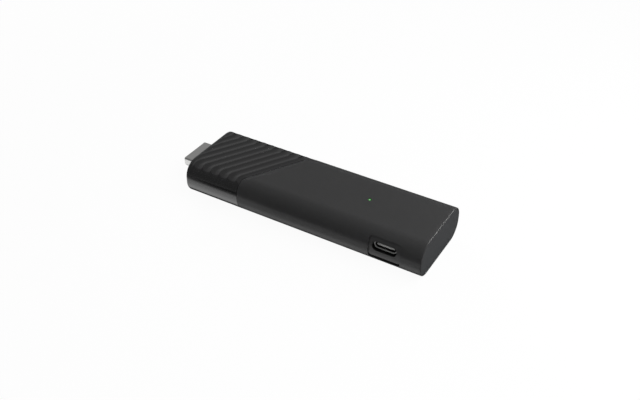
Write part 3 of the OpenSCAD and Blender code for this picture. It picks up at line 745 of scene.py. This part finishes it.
def boardLacquer(name, s):
    # solder lacquer over copper tracks, with small plated holes
    material, tree, shader = newMaterial(name)
    grain = useGroup(tree, mouldGrain, (-900, 300), Size=0.0003, Drift_Size=0.01)
    coords = addNode(tree, "ShaderNodeTexCoord", (-1100, 0))
    tracks = addNode(tree, "ShaderNodeTexBrick", (-800, 0), offset=0.37, squash=0.6, squash_frequency=3)
    setInputs(tracks, Scale=1 / s["trackPitch"], Mortar_Size=0.09, Mortar_Smooth=0.2, Brick_Width=2.6, Row_Height=0.5)
    tree.links.new(coords.outputs["Object"], tracks.inputs["Vector"])
    holes = setInputs(addNode(tree, "ShaderNodeTexVoronoi", (-800, -350)), Scale=1 / s["holePitch"])
    tree.links.new(coords.outputs["Object"], holes.inputs["Vector"])
    ring = setInputs(addNode(tree, "ShaderNodeMapRange", (-600, -350)), From_Min=0.1, From_Max=0.06)
    tree.links.new(holes.outputs["Distance"], ring.inputs["Value"])
    lacquer = blendColours(tree, grain.outputs["Drift"], s["dark"], s["light"], (-600, 300))
    traced = blendColours(tree, tracks.outputs["Fac"], lacquer, s["track"], (-300, 200))
    plated = blendColours(tree, ring.outputs["Result"], traced, s["plating"], (-50, 200))
    tree.links.new(plated, shader.inputs["Base Color"])
    tree.links.new(ring.outputs["Result"], shader.inputs["Metallic"])
    tree.links.new(spread(tree, grain.outputs["Cells"], *s["roughness"], (-50, 0)), shader.inputs["Roughness"])
    bump = setInputs(addNode(tree, "ShaderNodeBump", (200, -300)), Strength=0.4, Distance=0.00003)
    tree.links.new(tracks.outputs["Fac"], bump.inputs["Height"])
    tree.links.new(bump.outputs["Normal"], shader.inputs["Normal"])
    return material


def litWindow(name, s):
    # glowing plastic, brightest over the light source and darker towards its rim
    material, tree, shader = newMaterial(name)
    grain = useGroup(tree, mouldGrain, (-500, 300), Size=0.0001, Drift_Size=0.0006)
    x, y = s["centre"]
    core, radius = s["glow"]
    glow = useGroup(
        tree, glowSpot, (-300, 0), Centre_X=x * mm, Centre_Y=y * mm, Core=core * mm, Radius=radius * mm,
    )
    shine = blendColours(tree, glow.outputs["Rim"], s["core"], s["edge"], (0, 0))
    tint = blendColours(tree, grain.outputs["Drift"], s["dark"], s["light"], (0, 300))
    tree.links.new(shine, shader.inputs["Emission Color"])
    tree.links.new(tint, shader.inputs["Base Color"])
    tree.links.new(spread(tree, grain.outputs["Cells"], *s["roughness"], (0, -200)), shader.inputs["Roughness"])
    shader.inputs["Emission Strength"].default_value = s["strength"]
    shader.inputs["Specular IOR Level"].default_value = s["specular"]
    return material


def dress(obj, material):
    if not obj.material_slots:
        obj.data.materials.append(None)
    for place in obj.material_slots:
        place.link = "OBJECT"
        place.material = material


sleevePlastic = mouldedPlastic("Matt Black Sleeve", {
    "dark": (0.0213, 0.0213, 0.0217), "light": (0.0246, 0.0246, 0.025), "rubbed": (0.055, 0.055, 0.056),
    "grain": 0.00016, "bump": 0.35, "roughness": (0.37, 0.49), "wear": 0.5,
})
frontPlastic = mouldedPlastic("Gloss Black Front", {
    "dark": (0.005, 0.005, 0.0053), "light": (0.006, 0.006, 0.0063), "rubbed": (0.02, 0.02, 0.02),
    "grain": 0.0006, "bump": 0.03, "roughness": (0.13, 0.22), "wear": 0.4,
    "IOR": 1.75, "Coat Weight": 0.6, "Coat Roughness": 0.08,
})
capPlastic = mouldedPlastic("Cool Black End Cap", {
    "dark": (0.024, 0.0255, 0.0275), "light": (0.028, 0.0295, 0.0315), "rubbed": (0.05, 0.051, 0.053),
    "grain": 0.0002, "bump": 0.3, "roughness": (0.5, 0.62), "wear": 0.5, "Specular IOR Level": 0.35,
})
bezelPlastic = mouldedPlastic("Matt Black Port Panel", {
    "dark": (0.027, 0.027, 0.0275), "light": (0.032, 0.032, 0.0325), "rubbed": (0.06, 0.06, 0.061),
    "grain": 0.00014, "bump": 0.3, "roughness": (0.38, 0.5), "wear": 0.6,
    # painted shade, near black on the walls that run into the port
    "inside": (0.003, 0.003, 0.003),
})
framePlastic = mouldedPlastic("Grey Inner Frame", {
    "dark": (0.05, 0.05, 0.052), "light": (0.065, 0.065, 0.067), "rubbed": (0.12, 0.12, 0.12),
    "grain": 0.0003, "bump": 0.3, "roughness": (0.5, 0.65), "wear": 0.5,
})
connectorPlastic = mouldedPlastic("Black Connector Plastic", {
    "dark": (0.012, 0.012, 0.013), "light": (0.02, 0.02, 0.021), "rubbed": (0.12, 0.12, 0.12),
    "grain": 0.0001, "bump": 0.2, "roughness": (0.3, 0.42), "wear": 0.9,
})
tonguePlastic = mouldedPlastic("Grey Port Tongue", {
    "dark": (0.3, 0.3, 0.3), "light": (0.38, 0.38, 0.375), "rubbed": (0.6, 0.6, 0.59),
    "grain": 0.0001, "bump": 0.2, "roughness": (0.35, 0.45), "wear": 0.9,
    # painted shade, near black on the tongue past its front face
    "mouth": (-14.65, -14.3), "inside": (0.02, 0.02, 0.02),
})
chipPlastic = mouldedPlastic("Chip Moulding", {
    "dark": (0.012, 0.012, 0.013), "light": (0.02, 0.02, 0.022), "rubbed": (0.07, 0.07, 0.07),
    "grain": 0.00008, "bump": 0.4, "roughness": (0.4, 0.55), "wear": 0.4,
})
ferriteGrain = mouldedPlastic("Pressed Ferrite", {
    "dark": (0.035, 0.034, 0.033), "light": (0.07, 0.068, 0.065), "rubbed": (0.14, 0.135, 0.13),
    "grain": 0.00012, "bump": 0.8, "roughness": (0.6, 0.8), "wear": 0.8,
})
capacitorCeramic = mouldedPlastic("Tan Capacitor Ceramic", {
    "dark": (0.23, 0.145, 0.08), "light": (0.33, 0.22, 0.13), "rubbed": (0.48, 0.36, 0.24),
    "grain": 0.00006, "bump": 0.4, "roughness": (0.35, 0.5), "wear": 0.5,
})
resistorCeramic = mouldedPlastic("Resistor Glaze", {
    "dark": (0.014, 0.014, 0.016), "light": (0.03, 0.03, 0.034), "rubbed": (0.5, 0.5, 0.48),
    "grain": 0.00005, "bump": 0.3, "roughness": (0.25, 0.4), "wear": 1.0,
})
siliconePad = mouldedPlastic("Grey Thermal Silicone", {
    "dark": (0.3, 0.33, 0.37), "light": (0.42, 0.45, 0.49), "rubbed": (0.5, 0.53, 0.57),
    "grain": 0.0004, "bump": 0.7, "roughness": (0.7, 0.9), "wear": 0.3,
})
plugSteel = sheetMetal("Satin Plug Steel", {
    "dark": (0.68, 0.68, 0.67), "light": (0.8, 0.8, 0.79), "rubbed": (0.9, 0.9, 0.89),
    "roughness": (0.2, 0.26), "bump": 0.35,
})
portSteel = sheetMetal("Dull Port Steel", {
    "dark": (0.5, 0.5, 0.5), "light": (0.62, 0.62, 0.61), "rubbed": (0.8, 0.8, 0.79),
    "roughness": (0.25, 0.3), "bump": 0.3, "along": 0.002, "metallic": 0.6,
    # painted shade, near black on the shell past its mouth
    "mouth": (-15.0, -14.8), "inside": (0.02, 0.02, 0.02),
})
contactGold = sheetMetal("Plated Contacts", {
    "dark": (0.72, 0.5, 0.2), "light": (0.88, 0.66, 0.31), "rubbed": (0.95, 0.78, 0.48),
    "roughness": (0.18, 0.3), "bump": 0.2, "along": 0.0015, "across": 0.00004,
})
screwSteel = sheetMetal("Blackened Screw Steel", {
    "dark": (0.12, 0.12, 0.125), "light": (0.2, 0.2, 0.205), "rubbed": (0.5, 0.5, 0.49),
    "roughness": (0.3, 0.5), "bump": 0.3, "along": 0.0004,
})
shieldTin = sheetMetal("Tinned Shield", {
    "dark": (0.58, 0.58, 0.56), "light": (0.72, 0.72, 0.69), "rubbed": (0.85, 0.85, 0.83),
    "roughness": (0.28, 0.45), "bump": 0.3, "along": 0.006,
})
spreaderAluminium = sheetMetal("Rolled Aluminium", {
    "dark": (0.68, 0.69, 0.7), "light": (0.8, 0.81, 0.82), "rubbed": (0.9, 0.9, 0.9),
    "roughness": (0.3, 0.45), "bump": 0.5, "along": 0.01, "across": 0.00012,
})
boardMask = boardLacquer("Green Board Lacquer", {
    "dark": (0.008, 0.045, 0.024), "light": (0.012, 0.065, 0.034), "track": (0.025, 0.12, 0.06),
    "plating": (0.7, 0.52, 0.25), "trackPitch": 0.0016, "holePitch": 0.0028, "roughness": (0.25, 0.4),
})
# the glow is its core's radius and its own, in mm
windowPlastic = litWindow("Green Light Window", {
    "centre": (lightHole["x"], 0.35), "glow": (0.2, 0.5), "strength": 1.0, "specular": 0.3,
    "core": (0.23, 0.52, 0.23), "edge": (0.007, 0.075, 0.006),
    "dark": (0.003, 0.03, 0.003), "light": (0.005, 0.045, 0.005), "roughness": (0.18, 0.3),
})
diodeCeramic = litWindow("Lit Diode", {
    "centre": (lightHole["x"], lightHole["y"]), "glow": (0.12, 0.3), "strength": 1.5, "specular": 0.5,
    "core": (0.35, 1.0, 0.35), "edge": (0.05, 0.1, 0.05),
    "dark": (0.5, 0.5, 0.46), "light": (0.62, 0.62, 0.58), "roughness": (0.18, 0.3),
})

nodeFinishes = {
    "end_cap": capPlastic, "port_bezel": bezelPlastic, "light_pipe": windowPlastic,
    "hdmi_shell": plugSteel, "hdmi_insulator": connectorPlastic, "hdmi_contacts": contactGold,
    "usb_shell": portSteel, "usb_tongue": tonguePlastic, "usb_contacts": contactGold,
    "inner_frame": framePlastic, "board_screws": screwSteel, "main_board": boardMask, "status_led": diodeCeramic,
    "processor": chipPlastic, "memory_chip": chipPlastic, "flash_chip": chipPlastic, "power_chip": chipPlastic,
    "wifi_module": shieldTin, "upper_shield_frame": shieldTin, "upper_shield_lid": shieldTin,
    "lower_shield_frame": shieldTin, "lower_shield_lid": shieldTin,
    "processor_pad": siliconePad, "flash_pad": siliconePad,
    "upper_spreader_pad": siliconePad, "lower_spreader_pad": siliconePad,
    "upper_heat_spreader": spreaderAluminium, "lower_heat_spreader": spreaderAluminium,
    "wifi_antenna": contactGold, "bluetooth_antenna": contactGold,
    "power_inductors": ferriteGrain, "bulk_capacitors": capacitorCeramic, "small_capacitors": capacitorCeramic,
    "resistors": resistorCeramic, "esd_arrays": chipPlastic, "clock_crystal": shieldTin,
    "main_housing": sleevePlastic, "front_housing": frontPlastic,
}
for name, obj in nodes.items():
    dress(obj, nodeFinishes[name])

for piece, material, node, finish in (
    (frontShell, frontPlastic, "front_housing", "front_plastic"),
    (sleeveShell, sleevePlastic, "main_housing", "sleeve_plastic"),
):
    dress(piece, material)
    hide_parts(node)
    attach(piece, "root")
print("media stick: materials on", len(nodeFinishes), "nodes")


# floor, sky and lamps

def rampThrough(tree, value, stops, at):
    # plain grey level read off a list of (value, level) stops
    low, high = stops[0][0], stops[-1][0]
    ranged = setInputs(addNode(tree, "ShaderNodeMapRange", at), From_Min=low, From_Max=high)
    tree.links.new(value, ranged.inputs["Value"])
    ramp = addNode(tree, "ShaderNodeValToRGB", (at[0] + 200, at[1]))
    elements = ramp.color_ramp.elements
    while len(elements) < len(stops):
        elements.new(0.5)
    for element, (place, level) in zip(elements, stops):
        element.position = (place - low) / (high - low)
        element.color = (level, level, level, 1.0)
    tree.links.new(ranged.outputs["Result"], ramp.inputs["Fac"])
    return ramp.outputs["Color"]


def between(tree, value, span, levels, at):
    # runs from the first level to the second while the value crosses the span
    ranged = setInputs(
        addNode(tree, "ShaderNodeMapRange", at),
        From_Min=span[0], From_Max=span[1], To_Min=levels[0], To_Max=levels[1],
    )
    tree.links.new(value, ranged.inputs["Value"])
    return ranged.outputs["Result"]


def vectorNode(tree, operation, first, second, at):
    node = addNode(tree, "ShaderNodeVectorMath", at, operation=operation)
    tree.links.new(first, node.inputs[0])
    if second is not None:
        node.inputs[1].default_value = second
    return node.outputs["Value" if operation in ("LENGTH", "DOT_PRODUCT") else "Vector"]


# the table: lengths in mm, light as a share of white
tableForm = {
    "half": 3000.0,
    "drop": 0.05,            # how far it lies under the stick's underside
    "grey": 0.92,
    "whiteShare": 0.95,      # how much of it is plain white to the camera, the rest keeps its shade
    "underSides": 2.0,       # how far under the stick its long sides still get light
    # light that the table gives back to gloss, by distance from there
    "givenBack": (
        (0.0, 0.02), (0.8, 0.06), (2.0, 0.55), (3.0, 0.85), (4.5, 1.0), (7.5, 1.0), (9.8, 0.85), (11.5, 0.45),
        (14.0, 0.2), (19.0, 0.09), (30.0, 0.05), (50.0, 0.045), (60.0, 0.065),
    ),
    "sleeveFrom": (-28.0, -24.0),
    "alongSleeve": 1.2,      # how much sooner that light ends along the sleeve
    "pastEnd": 2.0,          # run over which the far end's own light sets in
    "farEnd": 0.29,          # light beyond the far end, whatever the distance
    "farCorner": 0.02,       # the same at the corner on the port's side
    "cornerRun": 3.0,
    "plugFrom": (-57.0, -64.0),
    "beyondPlug": 2.6,       # how much brighter it is beyond the plug
    # where the shade just behind the plug sets in, as (axis, from, to)
    "plugShade": (("X", -45.0, -50.0), ("Y", -10.0, -5.0), ("Y", 55.0, 45.0)),
    "inPlugShade": 0.05,     # share of the light left in it
    "behind": 0.1,           # share of the light left behind the far side of the stick
    "behindRun": 1.0,
}


def tableLight(tree, s):
    # what gloss sees of the table, by its place round the stick
    low, high = cadBox
    shape = addNode(tree, "ShaderNodeNewGeometry", (-1400, 0))
    place = addNode(tree, "ShaderNodeSeparateXYZ", (-1200, -300))
    tree.links.new(shape.outputs["Position"], place.inputs["Vector"])
    x, y = place.outputs["X"], place.outputs["Y"]
    # distance from a box round the stick, drawn in under its long sides
    halfBox = ((high.x - low.x) / 2, (high.y - low.y) / 2 - s["underSides"] * mm, 1.0)
    centred = vectorNode(tree, "SUBTRACT", shape.outputs["Position"], (low + high) / 2, (-1300, 100))
    away = vectorNode(tree, "ABSOLUTE", centred, None, (-1200, 0))
    outside = vectorNode(tree, "SUBTRACT", away, halfBox, (-1000, 0))
    outside = vectorNode(tree, "MAXIMUM", outside, (0.0, 0.0, 0.0), (-800, 0))
    distance = vectorNode(tree, "LENGTH", outside, None, (-600, 0))
    sooner = between(tree, x, [mm * edge for edge in s["sleeveFrom"]], (1.0, s["alongSleeve"]), (-1000, -150))
    distance = mathNode(tree, "MULTIPLY", distance, sooner, (-600, -150))
    near = rampThrough(tree, distance, [(run * mm, level) for run, level in s["givenBack"]], (-400, -200))
    # shade behind the plug, more light beyond it, less behind the stick
    shade = None
    for index, (axis, start, end) in enumerate(s["plugShade"]):
        edge = between(tree, place.outputs[axis], (start * mm, end * mm), (0.0, 1.0), (-1000, -800 - 250 * index))
        shade = edge if shade is None else mathNode(tree, "MULTIPLY", shade, edge, (-700, -800 - 100 * index))
    shares = spread(tree, shade, 1.0, s["inPlugShade"], (-300, -900))
    beyond = between(tree, x, [mm * edge for edge in reversed(s["plugFrom"])], (s["beyondPlug"], 1.0), (-1000, -550))
    shares = mathNode(tree, "MULTIPLY", shares, beyond, (-200, -500))
    behind = between(tree, y, (high.y, high.y + s["behindRun"] * mm), (1.0, s["behind"]), (-400, -700))
    shares = mathNode(tree, "MULTIPLY", shares, behind, (-100, -400))
    given = mathNode(tree, "MULTIPLY", near, shares, (0, -300))
    # one plain level past the far end, darker at its corner
    pastEnd = between(tree, x, (farEnd * mm, (farEnd + s["pastEnd"]) * mm), (0.0, 1.0), (-1000, -300))
    corner = between(tree, y, (low.y, low.y + s["cornerRun"] * mm), (s["farCorner"], s["farEnd"]), (-200, -150))
    mixed = addNode(tree, "ShaderNodeMix", (50, -150), data_type="FLOAT")
    for socket, value in zip((mixed.inputs[0], mixed.inputs[2], mixed.inputs[3]), (pastEnd, given, corner)):
        tree.links.new(value, socket)
    return mathNode(tree, "MINIMUM", mixed.outputs[0], 1.0, (100, -50))


def buildFloor(s):
    work = bmesh.new()
    bmesh.ops.create_grid(work, x_segments=8, y_segments=8, size=s["half"] * mm)
    mesh = bpy.data.meshes.new("studioFloor")
    work.to_mesh(mesh)
    work.free()
    floor = bpy.data.objects.new("studioFloor", mesh)
    floor.location.z = -s["drop"] * mm
    bpy.context.scene.collection.objects.link(floor)
    material, tree, shader = newMaterial("Pale Studio Floor")
    setInputs(shader, Base_Color=(s["grey"], s["grey"], s["grey"], 1.0), Roughness=0.9)
    shader.inputs["Specular IOR Level"].default_value = 0.0
    rays = addNode(tree, "ShaderNodeLightPath", (-600, 400))
    toCamera = rays.outputs["Is Camera Ray"]
    glow = addNode(tree, "ShaderNodeEmission", (300, 200))
    tree.links.new(mathNode(tree, "MAXIMUM", toCamera, tableLight(tree, s), (150, 0)), glow.inputs["Strength"])
    white = mathNode(tree, "MULTIPLY", toCamera, s["whiteShare"], (0, 500))
    gloss = mathNode(tree, "MAXIMUM", rays.outputs["Is Glossy Ray"], rays.outputs["Is Transmission Ray"], (0, 350))
    mix = addNode(tree, "ShaderNodeMixShader", (650, 300))
    tree.links.new(mathNode(tree, "MAXIMUM", white, gloss, (200, 450)), mix.inputs[0])
    tree.links.new(shader.outputs["BSDF"], mix.inputs[1])
    tree.links.new(glow.outputs["Emission"], mix.inputs[2])
    tree.links.new(mix.outputs["Shader"], tree.nodes["Material Output"].inputs["Surface"])
    floor.data.materials.append(material)


# the sky: what gloss and the surfaces get from it, as a share of white
skyForm = {
    "lean": (-0.2, 0.84, 0.5),    # direction that the levels below are measured along
    "levels": (
        (-1.0, 0.124), (0.24, 0.128), (0.345, 0.228), (0.5, 0.24), (0.65, 0.224), (0.9, 0.268), (1.0, 0.284),
    ),
    "least": 0.122,
    "horizon": 0.55,              # share of it left down at the horizon
    "horizonTop": 0.5,            # height of the direction from which it is whole
    "plugSide": 1.33,             # how much brighter it is beyond the plug
    "plugSideFrom": (-0.5, -0.62),
}


def buildWorld(s):
    world = bpy.data.worlds.new("Soft Studio")
    world.use_nodes = True
    tree = world.node_tree
    tree.nodes.clear()
    coords = addNode(tree, "ShaderNodeTexCoord", (-900, 0))
    split = addNode(tree, "ShaderNodeSeparateXYZ", (-700, -250))
    tree.links.new(coords.outputs["Generated"], split.inputs["Vector"])
    lean = vectorNode(tree, "DOT_PRODUCT", coords.outputs["Generated"], s["lean"], (-700, 0))
    level = rampThrough(tree, lean, s["levels"], (-500, 0))
    horizon = between(tree, split.outputs["Z"], (0.0, s["horizonTop"]), (s["horizon"], 1.0), (-500, -250))
    plugSide = between(tree, split.outputs["X"], s["plugSideFrom"], (1.0, s["plugSide"]), (-500, -500))
    shares = mathNode(tree, "MULTIPLY", horizon, plugSide, (-300, -350))
    level = mathNode(tree, "MULTIPLY", level, shares, (-100, -100))
    level = mathNode(tree, "MAXIMUM", level, s["least"], (-50, -50))
    rays = addNode(tree, "ShaderNodeLightPath", (-500, 300))
    seen = mathNode(tree, "MAXIMUM", rays.outputs["Is Camera Ray"], level, (50, 100))
    sky = setInputs(addNode(tree, "ShaderNodeBackground", (200, 0)), Color=(1.0, 1.0, 1.0, 1.0))
    tree.links.new(seen, sky.inputs["Strength"])
    output = addNode(tree, "ShaderNodeOutputWorld", (400, 0))
    tree.links.new(sky.outputs["Background"], output.inputs["Surface"])
    bpy.context.scene.world = world


studioLamps = {
    # place and size in metres, watts, whether it lights surfaces, whether gloss shows it, all it reaches
    "overheadLamp": ((0.18, 0.06, 0.22), 0.3, 0.77, True, False, None),
    "plugSideLamp": ((-0.5, 0.4, 0.15), 0.3, 2.5, True, False, None),
    "portSideLamp": ((0.3, -0.4, 0.35), 0.4, 0.75, True, False, None),
    "rimLamp": ((0.27, 0.44, 0.306), 0.1, 2.15, False, True, (sleeveShell, nodes["end_cap"])),
}


def buildLamps(lamps):
    for name, (place, size, power, lights, shows, reached) in lamps.items():
        data = bpy.data.lights.new(name, "AREA")
        data.size = size
        data.energy = power
        lamp = bpy.data.objects.new(name, data)
        lamp.location = place
        lamp.rotation_euler = (-Vector(place)).to_track_quat("-Z", "Y").to_euler()
        lamp.visible_diffuse = lights
        lamp.visible_glossy = shows
        bpy.context.scene.collection.objects.link(lamp)
        if reached:
            pieces = bpy.data.collections.new(name + "Pieces")
            for piece in reached:
                pieces.objects.link(piece)
            lamp.light_linking.receiver_collection = pieces


buildFloor(tableForm)
buildWorld(skyForm)
buildLamps(studioLamps)
bpy.context.scene.view_settings.view_transform = "Standard"
print("media stick: table, sky and", len(studioLamps), "lamps")

print("media stick: done")
